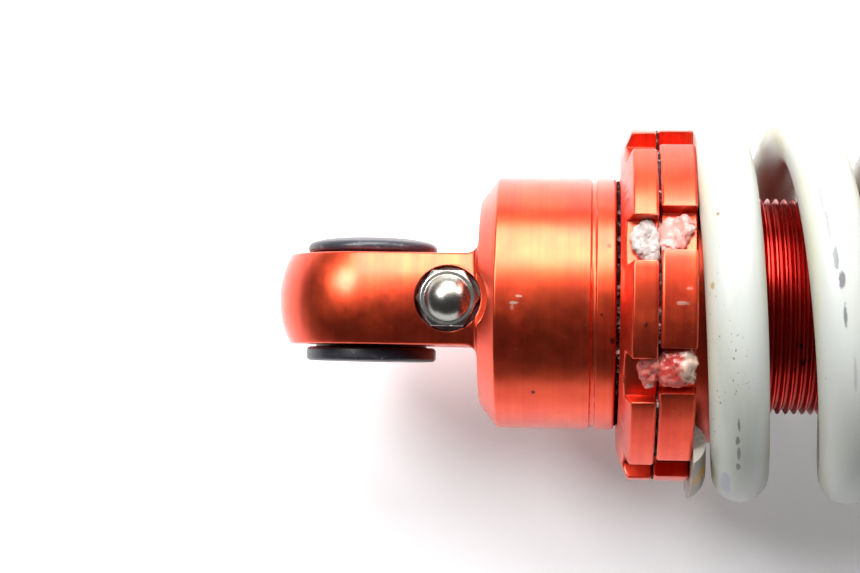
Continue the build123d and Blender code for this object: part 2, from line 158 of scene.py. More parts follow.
def on_wire(tree):
    """The point on the wire as if it were pulled straight: x along it, y outwards, z across."""
    return add(tree, "Attribute", attribute_name="straight_wire").outputs["Vector"]


def stretched(tree, point, factors):
    """A point multiplied along its axes, to draw a pattern out in one direction."""
    return add(tree, "VectorMath", {0: point, 1: factors}, operation="MULTIPLY").outputs[0]


def grain(tree, point, size, detail=3.0, roughness=0.55, distortion=0.0):
    """Noise whose blobs are about that size in metres, 0 to 1."""
    found = add(tree, "TexNoise", {"Vector": point, "Scale": 1 / size, "Detail": detail,
                                   "Roughness": roughness, "Distortion": distortion})
    return found.outputs["Fac"]


def ramp(tree, value, low, high, to_low=0.0, to_high=1.0):
    """Smoothly turn values from low to high into values from to_low to to_high."""
    found = add(tree, "MapRange", {"Value": value, "From Min": low, "From Max": high,
                                   "To Min": to_low, "To Max": to_high},
                interpolation_type="SMOOTHSTEP")
    return found.outputs["Result"]


def calc(tree, operation, *values):
    """One Math node on values or sockets."""
    return add(tree, "Math", dict(enumerate(values)), operation=operation).outputs[0]


def tinted(tree, share, below, above):
    """Colour that goes from below to above as share goes from 0 to 1."""
    mixer = add(tree, "Mix", {"Factor": share}, data_type="RGBA")
    for place, colour in ((6, below), (7, above)):
        if isinstance(colour, bpy.types.NodeSocket):
            tree.links.new(colour, mixer.inputs[place])
        else:
            mixer.inputs[place].default_value = colour
    return mixer.outputs[2]


def near_sharp_edge(tree, width):
    """1 where a sharp edge lies within that width, 0 on open surface."""
    rounded = add(tree, "Bevel", {"Radius": width}, samples=6)
    flat = add(tree, "NewGeometry")
    likeness = add(tree, "VectorMath", {0: rounded.outputs[0], 1: flat.outputs["Normal"]},
                   operation="DOT_PRODUCT")
    return ramp(tree, likeness.outputs["Value"], 0.995, 0.90)


def spot(tree, point, centre, reach, edge_noise, softness=0.5):
    """1 inside a ragged patch round a centre, 0 outside; reach is its half size on each axis."""
    offset = add(tree, "VectorMath", {0: point, 1: centre}, operation="SUBTRACT").outputs[0]
    scaled = add(tree, "VectorMath", {0: offset, 1: [1 / r for r in reach]},
                 operation="MULTIPLY").outputs[0]
    distance = add(tree, "VectorMath", {0: scaled}, operation="LENGTH").outputs["Value"]
    ragged = calc(tree, "ADD", distance, calc(tree, "MULTIPLY_ADD", edge_noise, 1.6, -0.8))
    return ramp(tree, ragged, 1.0 + softness / 2, 1.0 - softness / 2)


def relief(tree, shader, height, distance, strength=1.0):
    """Bump the shader's surface by height, which spans distance in metres."""
    bump = add(tree, "Bump", {"Height": height, "Distance": distance, "Strength": strength})
    tree.links.new(bump.outputs["Normal"], shader.inputs["Normal"])


def marked(tree, colour, point, marks, noise_size):
    """Lay ragged marks over a colour. Each mark is (centre, half sizes, colour, strength), the
    lengths in millimetres."""
    ragged = grain(tree, point, noise_size, 3.0, 0.7)
    for centre, reach, mark_colour, strength in marks:
        where = spot(tree, point, [c * MM for c in centre], [r * MM for r in reach], ragged)
        colour = tinted(tree, calc(tree, "MULTIPLY", where, strength), colour, hexed(mark_colour))
    return colour


def link(tree, shader, **sockets):
    """Link sockets to the shader's inputs by name."""
    for name, socket in sockets.items():
        tree.links.new(socket, shader.inputs[name.replace("_", " ")])


# ---------------------------------------------------------------- materials
def turned_anodised(name, colour, deep_colour, roughness, tool_mark, grime, marks=(), film=0.4):
    """Aluminium turned on a lathe and dyed orange-red. The eye gets a saturated metal sheen with
    long soft highlights, faint rings from the tool, pale edges that are partly worn-through metal
    and partly a painted highlight, and specks of road dirt."""
    material, tree, shader = new_material(name, Metallic=1.0, Roughness=roughness,
                                          Coat_Weight=film, Coat_Roughness=0.24)
    place = in_place(tree)
    # tool marks run round the shaft, so they change along X only
    along = stretched(tree, place, (1.0, 0.02, 0.02))
    fine_rings = grain(tree, along, tool_mark, 2.0, 0.6)
    broad_rings = grain(tree, along, tool_mark * 9, 2.0)
    dye = grain(tree, place, 9 * MM, 3.0)
    tint = ramp(tree, calc(tree, "ADD", dye, calc(tree, "MULTIPLY", broad_rings, 0.6)), 0.55, 1.05)
    body = tinted(tree, tint, hexed(deep_colour), hexed(colour))
    # pale pinkish edges: partly metal worn through the dye, partly a painted highlight along every
    # sharp edge
    edge_wear_and_highlight = calc(tree, "MULTIPLY", near_sharp_edge(tree, 0.35 * MM),
                ramp(tree, grain(tree, place, 2.2 * MM), 0.38, 0.62, 0.10, 0.55))
    worn = tinted(tree, edge_wear_and_highlight, body, hexed("F2A58E"))
    # dirt: scattered specks, thicker where a broad noise lets them gather
    speckle = grain(tree, place, 0.55 * MM, 2.0, 0.7)
    gathering = grain(tree, place, 14 * MM, 2.0)
    level = calc(tree, "MULTIPLY_ADD", gathering, 0.22, speckle)
    dirt = ramp(tree, level, 0.83 - grime, 0.87 - grime)
    shade = marked(tree, tinted(tree, dirt, worn, hexed("3A1A14")), place, marks, 0.5 * MM)
    smear = ramp(tree, grain(tree, place, 5 * MM, 4.0, 0.6), 0.35, 0.75)
    gloss = calc(tree, "MULTIPLY_ADD", smear, 0.09, roughness - 0.03)
    gloss = calc(tree, "MULTIPLY_ADD", dirt, 0.35, gloss)
    gloss = calc(tree, "MULTIPLY_ADD", fine_rings, 0.04, gloss)
    link(tree, shader, Base_Color=shade, Roughness=gloss,
         Metallic=calc(tree, "MULTIPLY_ADD", dirt, -0.8, 1.0))
    relief(tree, shader, fine_rings, 0.004 * MM, 1.0)
    return material


def dyed_thread(marks):
    """Threaded tube, dyed deep red-orange: glossy crests with painted shade darkening the grooves
    between them, and a few dark grains of dirt stuck in the thread."""
    material, tree, shader = new_material("anodised_thread", Metallic=1.0, Roughness=0.27)
    place = in_place(tree)
    radius = add(tree, "VectorMath", {0: stretched(tree, place, (0, 1, 1))}, operation="LENGTH")
    in_groove = ramp(tree, radius.outputs["Value"], tube_radius - 0.05 * MM, thread_root)
    dye = ramp(tree, grain(tree, place, 9 * MM, 3.0), 0.35, 0.65)
    body = tinted(tree, dye, hexed("C42E28"), hexed("D43A31"))
    # painted shade: the colour darkens with depth into the thread grooves
    body = tinted(tree, calc(tree, "MULTIPLY", in_groove, 0.45), body, hexed("701814"))
    specks = ramp(tree, grain(tree, place, 0.5 * MM, 2.0, 0.7), 0.74, 0.80)
    body = tinted(tree, specks, body, hexed("2A1210"))
    body = marked(tree, body, place, marks, 0.4 * MM)
    link(tree, shader, Base_Color=body,
         Roughness=calc(tree, "MULTIPLY_ADD", in_groove, 0.12, 0.26),
         Metallic=calc(tree, "MULTIPLY_ADD", specks, -0.7, 1.0))
    return material


def white_powder_coat(marks):
    """Polyester powder baked on the spring wire: nearly white, satin, with a slight orange peel.
    Years of road dirt leave yellowish stains, grey specks and black rub marks on the outside."""
    material, tree, shader = new_material("white_powder_coat", Roughness=0.36, IOR=1.5)
    wire = on_wire(tree)
    peel = grain(tree, wire, 1.5 * MM, 1.0)
    drift = grain(tree, stretched(tree, wire, (0.25, 1, 1)), 7 * MM, 3.0)
    coat = tinted(tree, ramp(tree, drift, 0.40, 0.75), hexed("BBBEB9"), hexed("B2B5AA"))
    # the two sides of the wire, where it faces its neighbours, keep a yellowish stain
    sides = add(tree, "SeparateXYZ", {"Vector": wire})
    facing = calc(tree, "ABSOLUTE", sides.outputs["Z"])
    stain_noise = grain(tree, stretched(tree, wire, (0.35, 1, 1)), 5 * MM, 4.0, 0.65)
    stained = calc(tree, "MULTIPLY", ramp(tree, facing, 0.55 * wire_radius, 1.0 * wire_radius),
                   ramp(tree, stain_noise, 0.42, 0.70, 0.05, 0.75))
    coat = tinted(tree, stained, coat, hexed("BDB994"))
    # dark specks gather in drifts along the wire
    drifts = ramp(tree, grain(tree, stretched(tree, wire, (0.30, 1, 1)), 10 * MM, 2.0), 0.52, 0.68)
    specks = ramp(tree, grain(tree, wire, 0.6 * MM, 2.0, 0.7), 0.65, 0.73)
    specked = calc(tree, "MULTIPLY", calc(tree, "MULTIPLY", specks, drifts), 0.85)
    coat = tinted(tree, specked, coat, hexed("4A4238"))
    # rub marks: long grey smears on the outermost side only
    outside = ramp(tree, sides.outputs["Y"], 0.55 * wire_radius, 0.97 * wire_radius)
    streak = grain(tree, stretched(tree, wire, (0.14, 1, 1)), 1.6 * MM, 4.0, 0.7)
    where = ramp(tree, grain(tree, stretched(tree, wire, (0.5, 1, 1)), 13 * MM, 1.0), 0.55, 0.66)
    rubbed = calc(tree, "MULTIPLY", ramp(tree, streak, 0.60, 0.72),
                  calc(tree, "MULTIPLY", outside, where))
    coat = tinted(tree, calc(tree, "MULTIPLY", rubbed, 0.75), coat, hexed("55565C"))
    coat = marked(tree, coat, wire, marks, 0.9 * MM)
    gloss = calc(tree, "MULTIPLY_ADD", calc(tree, "MAXIMUM", stained, specked), 0.25, 0.36)
    link(tree, shader, Base_Color=coat, Roughness=gloss)
    grit = calc(tree, "MULTIPLY_ADD", specked, 0.6, peel)
    relief(tree, shader, grit, 0.02 * MM, 0.8)
    return material


def moulded_acetal():
    """Black acetal, moulded, long in service: satin black that goes grey where it has rubbed."""
    material, tree, shader = new_material("moulded_acetal", Roughness=0.38, IOR=1.48)
    place = in_place(tree)
    rub = grain(tree, place, 2.6 * MM, 4.0, 0.65)
    scrape = grain(tree, stretched(tree, place, (0.3, 1, 1)), 0.6 * MM, 3.0, 0.7)
    worn = calc(tree, "MULTIPLY", ramp(tree, rub, 0.52, 0.66), ramp(tree, scrape, 0.48, 0.66))
    edge = calc(tree, "MULTIPLY", near_sharp_edge(tree, 0.5 * MM), 0.35)
    grey = calc(tree, "MAXIMUM", calc(tree, "MULTIPLY", worn, 0.55), edge)
    link(tree, shader, Base_Color=tinted(tree, grey, hexed("2C2D35"), hexed("84838A")),
         Roughness=calc(tree, "MULTIPLY_ADD", grey, 0.35, 0.34))
    relief(tree, shader, calc(tree, "ADD", scrape, worn), 0.015 * MM, 0.7)
    return material


def plain_metal(name, colour, dull_colour, roughness, mark_size, stretch=(1, 1, 1), bump=0.004,
                metallic=1.0, stain_size=4.0):
    """A metal with the marks of its machining and a slight tarnish; named for its real finish."""
    material, tree, shader = new_material(name, Metallic=metallic, Roughness=roughness)
    place = in_place(tree)
    marks = grain(tree, stretched(tree, place, stretch), mark_size * MM, 3.0, 0.6)
    tarnish = ramp(tree, grain(tree, place, stain_size * MM, 4.0, 0.6), 0.42, 0.72)
    link(tree, shader, Base_Color=tinted(tree, tarnish, hexed(colour), hexed(dull_colour)),
         Roughness=calc(tree, "MULTIPLY_ADD", tarnish, 0.12,
                        calc(tree, "MULTIPLY_ADD", marks, 0.10, roughness - 0.07)))
    relief(tree, shader, marks, bump * MM, 1.0)
    return material


def moulded_rubber(name, colour, bloom_colour, roughness):
    """Nitrile or urethane out of a mould: matt, faintly mottled, paler where it has bloomed."""
    material, tree, shader = new_material(name, Roughness=roughness, IOR=1.5)
    place = in_place(tree)
    skin = grain(tree, place, 0.35 * MM, 3.0, 0.6)
    bloom = ramp(tree, grain(tree, place, 3.5 * MM, 3.0), 0.45, 0.70, 0.0, 0.6)
    link(tree, shader, Base_Color=tinted(tree, bloom, hexed(colour), hexed(bloom_colour)),
         Roughness=calc(tree, "MULTIPLY_ADD", bloom, 0.15, roughness - 0.05))
    relief(tree, shader, skin, 0.02 * MM, 0.6)
    return material


def dried_grease(name, pale, blush, deep, roughness, marks=()):
    """Old grease mixed with road dirt and orange swarf: smooth rounded lumps, glossy in places,
    mottled between two tones with a few dark seams."""
    material, tree, shader = new_material(name, Roughness=roughness, IOR=1.47)
    place = in_place(tree)
    clot = grain(tree, place, 2.4 * MM, 3.0, 0.5, 0.6)
    tone = tinted(tree, ramp(tree, clot, 0.40, 0.60), hexed(pale), hexed(blush))
    darker = ramp(tree, grain(tree, place, 1.7 * MM, 3.0), 0.60, 0.72)
    tone = tinted(tree, darker, tone, hexed(deep))
    tone = marked(tree, tone, place, marks, 1.2 * MM)
    seams = ramp(tree, grain(tree, place, 1.1 * MM, 3.0, 0.6, 1.2), 0.66, 0.74)
    link(tree, shader, Base_Color=tinted(tree, calc(tree, "MULTIPLY", seams, 0.8), tone,
                                         hexed("4A2620")),
         Roughness=ramp(tree, clot, 0.35, 0.65, roughness - 0.12, roughness + 0.12))
    relief(tree, shader, clot, 0.15 * MM, 0.6)
    return material


def packed_dirt():
    """Grit and oil packed into a gap: nearly black, with grey lumps."""
    material, tree, shader = new_material("packed_dirt", Roughness=0.8, IOR=1.45)
    place = in_place(tree)
    lumps = ramp(tree, grain(tree, place, 1.6 * MM, 3.0, 0.6), 0.52, 0.66)
    grit = grain(tree, place, 0.3 * MM, 3.0, 0.7)
    link(tree, shader, Base_Color=tinted(tree, lumps, hexed("221412"), hexed("A59C95")),
         Roughness=ramp(tree, grit, 0.3, 0.7, 0.55, 0.95))
    relief(tree, shader, grit, 0.2 * MM, 0.9)
    return material


# Handling marks: centre, half sizes in millimetres, colour, strength
cap_marks = (
    ((27.4, -0.9, 23.2), (0.75, 0.30, 1.0), "FFD9C6", 0.75),  # scratches by the valve
    ((28.2, 0.3, 23.2), (0.55, 0.22, 1.0), "FFD9C6", 0.65),
    ((27.1, -1.6, 23.2), (0.30, 0.45, 1.0), "F6B79F", 0.60),
    ((30.8, -16.5, 16.4), (0.35, 0.45, 0.5), "3A1A14", 0.90),  # specks of dirt
    ((43.9, 9.4, 21.3), (0.35, 0.40, 0.5), "5A2A20", 0.80),
    ((44.6, -7.2, 22.1), (0.40, 0.60, 0.5), "4A2018", 0.80),
    ((42.7, -2.8, 23.1), (0.22, 0.25, 0.5), "4A2018", 0.70),
    ((43.8, 19.0, 13.2), (1.7, 2.2, 2.6), "8E3A2C", 0.50),  # a dull stain near the rim
)
ring_marks = (
    ((56.3, -0.9, 32.4), (1.10, 0.35, 1.0), "FFCDB8", 0.60),  # rub marks from the spanner
    ((57.4, 1.6, 32.4), (0.60, 0.25, 1.0), "F6B79F", 0.50),
    ((50.1, -4.6, 32.1), (0.35, 0.50, 1.0), "5A2A20", 0.70),
)
thread_specks = (
    ((75.2, 11.2, 16.0), (0.34, 0.34, 0.34), "4A4440", 0.9),
    ((75.5, 4.5, 19.0), (0.22, 0.26, 0.30), "2A1210", 0.9),
    ((74.1, 3.0, 19.3), (0.42, 0.34, 0.34), "4A4440", 0.9),
    ((75.5, -2.4, 19.4), (0.42, 0.40, 0.34), "4A4440", 0.9),
    ((77.4, -7.6, 18.0), (0.60, 0.60, 0.60), "1C0C0A", 0.8),
    ((78.3, -10.4, 16.5), (0.55, 0.75, 0.75), "1C0C0A", 0.9),
    ((76.9, -11.8, 15.5), (0.50, 0.50, 0.50), "1C0C0A", 0.8),
)
# On the straightened wire the centre is given along it, outwards and across
wire_marks = (
    ((10.0, 2.0, 4.2), (16.0, 4.5, 2.6), "8F8578", 0.80),  # worn, dirty coat at the ground tip
    ((6.5, 2.5, 4.0), (2.8, 2.6, 1.8), "C8922E", 0.85),  # rust stain
    ((12.0, 2.6, 4.4), (5.0, 0.5, 1.5), "5C5A58", 0.75),  # scratches
    ((16.0, 0.8, 4.8), (5.0, 0.4, 1.5), "5C5A58", 0.65),
    ((152.0, 4.4, -2.6), (0.30, 1.5, 0.26), "8A6A48", 0.80),  # rust spots
    ((163.0, 3.2, -4.1), (0.50, 1.5, 0.30), "A08A50", 0.80),
    ((184.6, 5.0, -0.4), (1.1, 1.5, 0.26), "57504C", 0.70),  # a chain of dark nicks
    ((187.6, 5.0, -0.6), (0.9, 1.5, 0.34), "57504C", 0.75),
    ((190.4, 5.0, -0.4), (1.3, 1.5, 0.28), "57504C", 0.70),
    ((193.4, 5.0, -0.5), (0.8, 1.5, 0.40), "57504C", 0.75),
    ((200.0, 4.2, -2.6), (4.2, 2.0, 0.9), "8F95A8", 0.70),  # bluish smudge
    ((343.0, 5.0, -2.2), (3.6, 1.5, 0.24), "85868C", 0.55),  # a long broken scrape
    ((348.5, 5.0, -1.8), (2.4, 1.5, 0.26), "6A6B72", 0.60),
    ((353.0, 5.0, -1.2), (1.8, 1.5, 0.46), "5A5B62", 0.75),
    ((356.4, 4.8, -0.6), (1.2, 1.5, 0.60), "505158", 0.80),
    ((361.5, 4.8, -0.5), (1.6, 1.5, 0.30), "505158", 0.75),
    ((370.0, 4.6, 0.6), (3.0, 1.5, 0.28), "8E8F94", 0.50),
)

cap_orange = turned_anodised("anodised_cap", "EB5530", "DE462B", 0.33, 0.10 * MM, 0.00, cap_marks)
ring_orange = turned_anodised("anodised_rings", "E95130", "DA412A", 0.36, 0.12 * MM, 0.03,
                              ring_marks)
tube_orange = dyed_thread(thread_specks)
lower_orange = turned_anodised("anodised_lower_parts", "EB5530", "DE462B", 0.33, 0.10 * MM, 0.01)
powder_coat = white_powder_coat(wire_marks)
acetal = moulded_acetal()
# acorn nut, polished stainless: soft bright reflections, faint brown tea stain
stainless = plain_metal("polished_stainless", "B4B3AE", "A39A8A", 0.27, 0.25, (1, 1, 0.1))
# zinc plate: pale, slightly milky, with matt clouds
zinc = plain_metal("zinc_plate", "C4C7CC", "A9A8A2", 0.38, 0.6, stain_size=2.5)
# hard chrome, ground and polished round the rod: a dark mirror with fine rings
chrome = plain_metal("ground_hard_chrome", "D2D4D6", "C6C8CB", 0.12, 0.15, (1, 0.02, 0.02), 0.001)
# bare aluminium as it left the lathe: pale grey, plain tool rings
aluminium = plain_metal("turned_aluminium", "D6D6D4", "C2C0BC", 0.34, 0.16, (1, 0.02, 0.02))
# blued spring steel: dark blue-grey with brown edges of oil
blued_steel = plain_metal("blued_spring_steel", "6F747D", "5C5750", 0.34, 0.4, stain_size=2)
# bronze-filled PTFE band: dull brown with a metallic glint
bronze = plain_metal("bronze_filled_ptfe", "8E6B42", "7A5A38", 0.55, 0.25, metallic=0.35)
nitrile = moulded_rubber("moulded_nitrile", "141416", "2E2E31", 0.55)
urethane = moulded_rubber("cast_urethane", "C59A33", "B08628", 0.42)
white_grease = dried_grease("whitish_grease", "B3A9A5", "948882", "6B5A53", 0.55)
pink_grease = dried_grease("pink_grease", "C99A92", "BC776D", "93423A", 0.50)
red_grease = dried_grease("deep_red_grease", "B03C36", "BE6A60", "7E1E18", 0.30,
                          (((57.8, -11.6, 28.6), (1.5, 3.2, 3.0), "CDB9A8", 0.85),
                           ((53.5, -15.6, 27.0), (4.5, 0.9, 1.4), "D2C6BE", 0.75)))
dirt = packed_dirt()

PAINT_OF_SLOT = {
    "anodised_orange": lower_orange, "white_powder_coat": powder_coat, "black_acetal": acetal,
    "stainless_nut": stainless, "zinc_steel": zinc, "hard_chrome": chrome,
    "plain_aluminium": aluminium, "spring_steel": blued_steel, "bronze_ptfe": bronze,
    "black_nitrile": nitrile, "urethane": urethane,
}
SLOT_OF_NODE = {part["node"]: part["material_slot"] for part in frame["record"]["subparts"]}
for node_name, node in frame["nodes"].items():
    node.data.materials.clear()
    node.data.materials.append(PAINT_OF_SLOT[SLOT_OF_NODE[node_name]])


# ---------------------------------------------------------------- mesh helpers
def only_verts(found):
    """The vertices among an operator's results."""
    return [item for item in found if isinstance(item, bmesh.types.BMVert)]


def only_edges(found):
    """The edges among an operator's results."""
    return [item for item in found if isinstance(item, bmesh.types.BMEdge)]


def turned(outline, steps=144, axis_point=(0, 0, 0), axis=(1, 0, 0)):
    """A closed solid of revolution. The outline's (along, radius) points go round a closed loop;
    axis is (1, 0, 0) or (0, 1, 0)."""
    shape = bmesh.new()
    centre = Vector(axis_point)
    corners = []
    for along, radius in outline:
        corner = (along, radius, 0) if axis[0] else (radius, along, 0)
        corners.append(shape.verts.new(centre + Vector(corner)))
    edges = [shape.edges.new((corners[place - 1], corners[place])) for place in range(len(corners))]
    bmesh.ops.spin(shape, geom=corners + edges, cent=centre, axis=axis, angle=math.tau,
                   steps=steps, use_merge=True)
    bmesh.ops.remove_doubles(shape, verts=shape.verts, dist=0.001 * MM)
    bmesh.ops.recalc_face_normals(shape, faces=shape.faces)
    return shape


def round_edges(shape, width, segments=2, sharper_than=math.radians(25)):
    """Break every sharp edge by that width."""
    sharp = [edge for edge in shape.edges
             if edge.is_manifold and edge.calc_face_angle() > sharper_than]
    bmesh.ops.bevel(shape, geom=sharp, offset=width, offset_type="OFFSET", affect="EDGES",
                    segments=segments, profile=0.5, material=-1, clamp_overlap=False)


def softened(node_name, width):
    """A copy of a machined node with its sharp edges broken, as a fitter deburrs them."""
    shape = bmesh.new()
    shape.from_mesh(frame["nodes"][node_name].data)
    bmesh.ops.remove_doubles(shape, verts=shape.verts, dist=0.001 * MM)
    bmesh.ops.dissolve_limit(shape, angle_limit=math.radians(0.3), verts=shape.verts,
                             edges=shape.edges)
    round_edges(shape, width)
    return shape


def piece(shape, name, paint, body, replaced=(), smooth_under=math.radians(30)):
    """Turn a bmesh into a finished piece that rides on a body; with no body it is left unattached.
    """
    mesh = bpy.data.meshes.new(name)
    shape.to_mesh(mesh)
    shape.free()
    mesh.materials.append(paint)
    mesh.polygons.foreach_set("use_smooth", [True] * len(mesh.polygons))
    mesh.set_sharp_from_angle(angle=smooth_under)
    made = bpy.data.objects.new(name, mesh)
    bpy.context.scene.collection.objects.link(made)
    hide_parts(*replaced)
    if body:
        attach(made, body)
    return made


def steady_shading(made):
    """Weight corner normals by face area, so that broad flats stay flat beside rounded edges."""
    weighting = made.modifiers.new("flat_faces_stay_flat", "WEIGHTED_NORMAL")
    weighting.keep_sharp = True


# ---------------------------------------------------------------- machined orange parts
for node_name, paint, body, edge in (
    ("upper_end_cap", cap_orange, "damper_body", 0.25 * MM),
    ("lock_ring", ring_orange, "lock_ring", 0.35 * MM),
    ("preload_ring", ring_orange, "preload_ring", 0.35 * MM),
    ("lower_spring_seat", lower_orange, "rod_assembly", 0.30 * MM),
    ("dome_nut", stainless, "damper_body", 0.12 * MM),
):
    steady_shading(piece(softened(node_name, edge), node_name + "_deburred", paint, body,
                         [node_name]))


# ---------------------------------------------------------------- threaded tube
def threaded_sleeve(start, end, crest, root, bore, steps=90):
    """A closed sleeve whose outside is a real helical thread between two x planes."""
    shape = bmesh.new()
    quarter = thread_pitch / 4
    flank = 5 * thread_pitch / 16
    section = ((0, root), (quarter, root), (quarter + flank, crest),
               (thread_pitch - flank, crest), (thread_pitch, root))
    corners = [shape.verts.new((start - 1.5 * thread_pitch + along, radius, 0))
               for along, radius in section]
    edges = [shape.edges.new(corners[place:place + 2]) for place in range(len(corners) - 1)]
    bmesh.ops.spin(shape, geom=corners + edges, cent=(0, 0, 0), axis=(1, 0, 0),
                   dvec=(thread_pitch / steps, 0, 0), angle=math.tau, steps=steps)
    one_turn = shape.verts[:] + shape.edges[:] + shape.faces[:]
    for turn in range(1, math.ceil((end - start) / thread_pitch) + 3):
        copied = bmesh.ops.duplicate(shape, geom=one_turn)["geom"]
        bmesh.ops.translate(shape, vec=(turn * thread_pitch, 0, 0), verts=only_verts(copied))
    bmesh.ops.remove_doubles(shape, verts=shape.verts, dist=0.005 * MM)
    for plane_x, outward in ((start, -1), (end, 1)):
        everything = shape.verts[:] + shape.edges[:] + shape.faces[:]
        bmesh.ops.bisect_plane(shape, geom=everything, dist=0.001 * MM, plane_co=(plane_x, 0, 0),
                               plane_no=(outward, 0, 0), clear_outer=True)
    for plane_x in (start, end):
        rim = [edge for edge in shape.edges if edge.is_boundary
               and all(abs(vert.co.x - plane_x) < 0.01 * MM for vert in edge.verts)]
        face_edges = bmesh.ops.extrude_edge_only(shape, edges=rim)["geom"]
        for vert in only_verts(face_edges):
            inward = Vector((0, vert.co.y, vert.co.z)).normalized() * bore
            vert.co = (plane_x, inward.y, inward.z)
    open_edges = [edge for edge in shape.edges if edge.is_boundary]
    bmesh.ops.bridge_loops(shape, edges=open_edges)
    bmesh.ops.recalc_face_normals(shape, faces=shape.faces)
    return shape


tube_shape = threaded_sleeve(tube_low.x, thread_end, tube_radius, thread_root, tube_bore)
plain_part = bpy.data.meshes.new("plain_part")
groove_radius = circlip_high.y
lead_in = 0.6 * MM
run_out = 0.3 * MM  # the small step where the thread ends
plain_shape = turned((
    (thread_end, tube_bore), (thread_end, thread_root - run_out / 3),
    (thread_end + run_out, thread_root), (tube_high.x - lead_in, thread_root),
    (tube_high.x, thread_root - lead_in), (tube_high.x, tube_bore + lead_in),
    (tube_high.x - lead_in, tube_bore), (circlip_high.x, tube_bore),
    (circlip_high.x, groove_radius), (circlip_low.x, groove_radius), (circlip_low.x, tube_bore)))
plain_shape.to_mesh(plain_part)
plain_shape.free()
tube_shape.from_mesh(plain_part)
bpy.data.meshes.remove(plain_part)
piece(tube_shape, "threaded_tube", tube_orange, "damper_body",
      ["damper_tube"], math.radians(35))


# ---------------------------------------------------------------- spring
def turns_opened(turn):
    """Turns at full extra pitch up to this turn, with a smooth ramp after the closed coil."""
    ramped = min(max(turn - closed_turns + pitch_blend / 2, 0), pitch_blend)
    share = (ramped - pitch_blend / math.pi * math.sin(math.pi * ramped / pitch_blend)) / 2
    return share + max(turn - closed_turns - pitch_blend / 2, 0)


all_turns = 2 * closed_turns + active_turns
half_opened = turns_opened(all_turns / 2)
spring_rise = spring_high.x - spring_low.x + 2 * tip_bury
extra_pitch = (spring_rise - closed_pitch * all_turns) / (2 * half_opened)


def wire_rise(turn):
    """How far along X the wire's centre is after so many turns from its buried tip."""
    opened = turns_opened(turn)
    if turn > all_turns / 2:
        opened = 2 * half_opened - turns_opened(all_turns - turn)
    return spring_low.x - tip_bury + closed_pitch * turn + extra_pitch * opened


def wire_frame(turn):
    """The wire's centre, and its outward and sideways directions, at a turn."""
    angle = tip_turn + math.tau * turn
    outward = Vector((0, math.cos(angle), math.sin(angle)))
    small = 0.001  # of a turn
    climb = wire_rise(turn + small) - wire_rise(turn - small)
    slope = climb / (2 * small * math.tau * coil_radius)
    forward = (Vector((0, -math.sin(angle), math.cos(angle))) + Vector((slope, 0, 0))).normalized()
    return outward * coil_radius + Vector((wire_rise(turn), 0, 0)), outward, outward.cross(forward)


def wire_length(first_turn, last_turn, steps_per_turn=60, section_steps=32):
    """A closed length of spring wire, with each point's place on the straightened wire kept."""
    shape = bmesh.new()
    straight = shape.verts.layers.float_vector.new("straight_wire")
    steps = round((last_turn - first_turn) * steps_per_turn)
    centre, outward, sideways = wire_frame(first_turn)
    aim = Matrix((sideways, outward, sideways.cross(outward))).transposed().to_4x4()
    ring = bmesh.ops.create_circle(shape, segments=section_steps, radius=wire_radius,
                                   matrix=Matrix.Translation(centre) @ aim)["verts"]
    start_face = shape.faces.new(ring)
    rim = list(start_face.edges)
    for step in range(steps + 1):
        turn = first_turn + (last_turn - first_turn) * step / steps
        centre, outward, sideways = wire_frame(turn)
        for vert in ring:
            offset = vert.co - centre
            vert[straight] = (math.tau * coil_radius * turn, offset.dot(outward),
                              offset.dot(sideways))
        if step == steps:
            break
        next_turn = first_turn + (last_turn - first_turn) * (step + 1) / steps
        grown = bmesh.ops.extrude_edge_only(shape, edges=rim)["geom"]
        ring = only_verts(grown)
        rim = only_edges(grown)
        new_centre, new_outward, new_sideways = wire_frame(next_turn)
        old = Matrix((sideways, outward, sideways.cross(outward)))
        new = Matrix((new_sideways, new_outward, new_sideways.cross(new_outward)))
        carry = (Matrix.Translation(new_centre) @ (new.transposed() @ old).to_4x4()
                 @ Matrix.Translation(-centre))
        bmesh.ops.transform(shape, matrix=carry, verts=ring)
    bmesh.ops.contextual_create(shape, geom=rim)
    bmesh.ops.recalc_face_normals(shape, faces=shape.faces)
    return shape


def grind(shape, plane_x, outward):
    """Grind an end of the spring flat at an x plane and close the cut."""
    everything = shape.verts[:] + shape.edges[:] + shape.faces[:]
    cut = bmesh.ops.bisect_plane(shape, geom=everything, dist=0.001 * MM,
                                 plane_co=(plane_x, 0, 0), plane_no=(outward, 0, 0),
                                 clear_outer=True)["geom_cut"]
    bmesh.ops.holes_fill(shape, edges=only_edges(cut))
    bmesh.ops.recalc_face_normals(shape, faces=shape.faces)


split_turn = 2.35  # on the underside
upper_coils = wire_length(0, split_turn)
grind(upper_coils, spring_low.x, -1)
lower_coils = wire_length(split_turn, all_turns)
grind(lower_coils, spring_high.x, 1)
upper_spring = piece(upper_coils, "spring_upper_coils", powder_coat, None,
                     ["coil_spring"], math.radians(40))
lower_spring = piece(lower_coils, "spring_lower_coils", powder_coat, "damper_body",
                     ["coil_spring"], math.radians(40))
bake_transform(upper_spring)
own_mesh(lower_spring)


